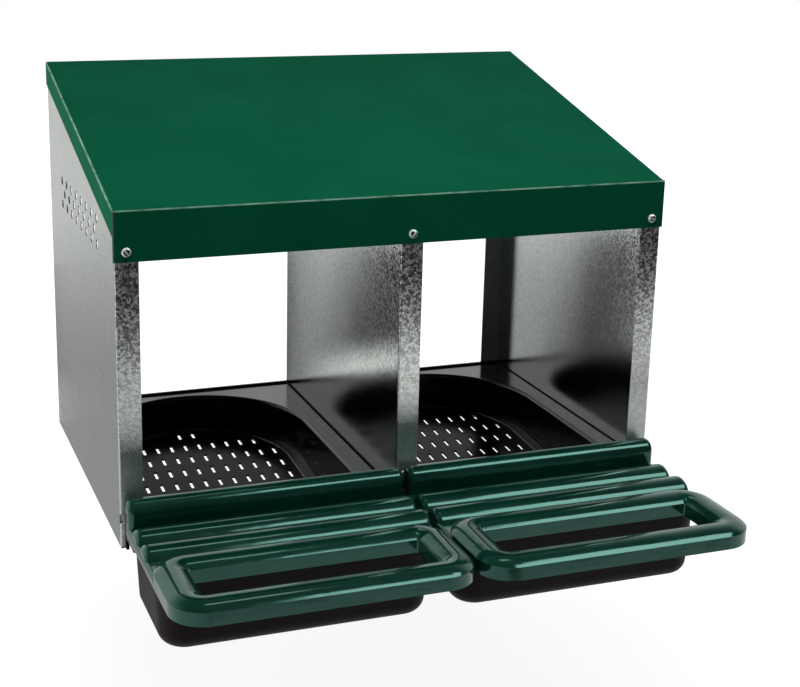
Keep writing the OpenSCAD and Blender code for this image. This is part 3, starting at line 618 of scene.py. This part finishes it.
# %% Nest floor plastic
FLOOR_SLOPE = math.tan(math.radians(4.2))
BEAD_DEEP = (0.9 * MILLIMETRE, 1.2 * MILLIMETRE)
FLOOR_CLOUD_SIZE = 30 * MILLIMETRE
FLOOR_GRAIN_SIZE = 0.8 * MILLIMETRE
FLOOR_BLACKS = rgb(10, 10, 10), rgb(16, 16, 15)
FLOOR_ROUGH, FLOOR_GRAIN_ROUGH = 0.13, 0.08
FLOOR_GRAIN_MM = 0.03
FLOOR_GLOSS = 0.06


def nest_floor_plastic():
    material, wire, place = new_finish("nest_floor_plastic")
    _, away, up = place.axes()
    corners = [v.co for v in nodes["nest_floor_left"].data.vertices]
    bead_top = max(corner.z - FLOOR_SLOPE * corner.y for corner in corners)
    below_bead = bead_top - (up - FLOOR_SLOPE * away)
    cloud = noise(wire, place, FLOOR_CLOUD_SIZE)
    grain = noise(wire, place, FLOOR_GRAIN_SIZE, detail=2.0)
    return close_finish(material, wire, {
        "Base Color": cloud.rise(*CLOUD_RANGE).mix(*FLOOR_BLACKS),
        "Roughness": FLOOR_ROUGH + FLOOR_GRAIN_ROUGH * grain,
        "Specular IOR Level": FLOOR_GLOSS,
        "Coat Weight": below_bead.fall(*BEAD_DEEP),
        "Normal": bumps(wire, FLOOR_GRAIN_MM * grain),
    })


# %% [markdown]
# The egg trays look duller than the nest trays and have a warm tinge. Less gloss alone would leave the
# mirror image sharp, so a fine grain in the roughness and in the bump breaks it up.

# %% Egg tray plastic
EGG_CLOUD_SIZE = 30 * MILLIMETRE
EGG_GRAIN_SIZE = 1.2 * MILLIMETRE
EGG_BROWNS = rgb(20, 15, 12), rgb(27, 21, 18)
EGG_ROUGH, EGG_GRAIN_ROUGH = 0.5, 0.15
EGG_GRAIN_MM = 0.08
EGG_GLOSS = 0.12


def egg_tray_plastic():
    material, wire, place = new_finish("egg_tray_plastic")
    cloud = noise(wire, place, EGG_CLOUD_SIZE)
    grain = noise(wire, place, EGG_GRAIN_SIZE, detail=2.0)
    return close_finish(material, wire, {
        "Base Color": cloud.rise(*CLOUD_RANGE).mix(*EGG_BROWNS),
        "Roughness": EGG_ROUGH + EGG_GRAIN_ROUGH * grain,
        "Specular IOR Level": EGG_GLOSS,
        "Normal": bumps(wire, EGG_GRAIN_MM * grain),
    })


# %% [markdown]
# Screws, nuts, rivets, rods and clips are taken as zinc-plated: brighter and bluer than the sheet,
# without spangle. In the picture the rims and slots of the three fascia screws look white round a dark
# face. Real heads probably get that from what they mirror. The room here doesn't give it, so masks
# paint it: a painted highlight makes the rims and slots pale and hardly metallic, and a painted dark
# reflection greys the face. The slots lie where the solids have them.
# paint it: the rims and slots are pale and hardly metallic. The slots lie where the solids have them.

# %% Zinc-plated fasteners
SLOT_TURNS = [math.radians(turn) for turn in (-37, 37, 107)]
SLOT_HALF = (0.65 * MILLIMETRE, 0.8 * MILLIMETRE)
FACE_EDGE = (3.1 * MILLIMETRE, 3.6 * MILLIMETRE)
HEAD_EDGE = (5.0 * MILLIMETRE, 5.3 * MILLIMETRE)
HEAD_DEEP = (3.1 * MILLIMETRE, 3.3 * MILLIMETRE)
HEADS_APART = 3
PLATE_CLOUD_SIZE = 3 * MILLIMETRE
PLATE_GREYS = rgb(200, 203, 204), rgb(228, 231, 232)
# Painted reflection on the screw heads: a dark grey for the faces and a pale highlight for rims and
# slots.
FACE_PAINTED_DARK = rgb(66, 70, 69)
RIM_PAINTED_HIGHLIGHT = rgb(245, 249, 247)
RIM_UNMETALLIC = 0.8
PLATE_ROUGH, PLATE_CLOUD_ROUGH = 0.2, 0.1


def screw_centres():
    """Places of the three screws across the front, and their height."""
    low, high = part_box("fascia_screws")
    head = (high.z - low.z) / 2
    clear = HEADS_APART * head
    across = [v.co.x for v in nodes["fascia_screws"].data.vertices]
    middle_screw = [x for x in across if low.x + clear < x < high.x - clear]
    centre = (min(middle_screw) + max(middle_screw)) / 2
    return (low.x + head, centre, high.x - head), low.z + head


def head_masks(across, away, up):
    """1 on the fascia screws' faces, for a painted dark reflection, and 1 on rims and slots, for a
    painted highlight.
    """
    places, height = screw_centres()
    faces, painted_highlight = 0.0, 0.0
    for place, turn in zip(places, SLOT_TURNS):
        aside, above = across - place, up - height
        from_slot = abs(math.cos(turn) * aside - math.sin(turn) * above)
        from_axis = (aside * aside + above * above).root()
        face = from_axis.fall(*FACE_EDGE) * from_slot.rise(*SLOT_HALF)
        faces = face + faces
        painted_highlight = from_axis.fall(*HEAD_EDGE) * (1 - face) + painted_highlight
    heads = (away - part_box("fascia_screws")[0].y).fall(*HEAD_DEEP)
    return heads * faces, heads * painted_highlight


def zinc_plate():
    material, wire, place = new_finish("zinc_plate")
    faces, painted_highlight = head_masks(*place.axes())
    cloud = noise(wire, place, PLATE_CLOUD_SIZE)
    # Painted reflection: the faces are painted dark grey, and the rims and slots are painted as pale,
    # hardly metallic highlights.
    colour = faces.mix(cloud.mix(*PLATE_GREYS), FACE_PAINTED_DARK)
    return close_finish(material, wire, {
        "Base Color": painted_highlight.mix(colour, RIM_PAINTED_HIGHLIGHT),
        "Metallic": 1 - RIM_UNMETALLIC * painted_highlight,
        "Roughness": PLATE_ROUGH + PLATE_CLOUD_ROUGH * cloud,
    })


# %% [markdown]
# ## Dress the solids
#
# The record says which finish each node takes. A node keeps its mesh and only gets a new material. The
# two slotted floors share the trays' slot but take the grained finish.

# %% Dress the solids
FINISHES = {
    "galvanised": galvanised_sheet(),
    "roof_paint": roof_paint(),
    "cover_plastic": cover_plastic(),
    "nest_plastic": nest_plastic(),
    "egg_tray_plastic": egg_tray_plastic(),
    "zinc_fasteners": zinc_plate(),
}
floor_finish = nest_floor_plastic()
for row in frame["record"]["subparts"]:
    piece = nodes[row["node"]]
    slotted = row["node"].startswith("nest_floor")
    piece.data.materials.clear()
    piece.data.materials.append(floor_finish if slotted else FINISHES[row["material_slot"]])
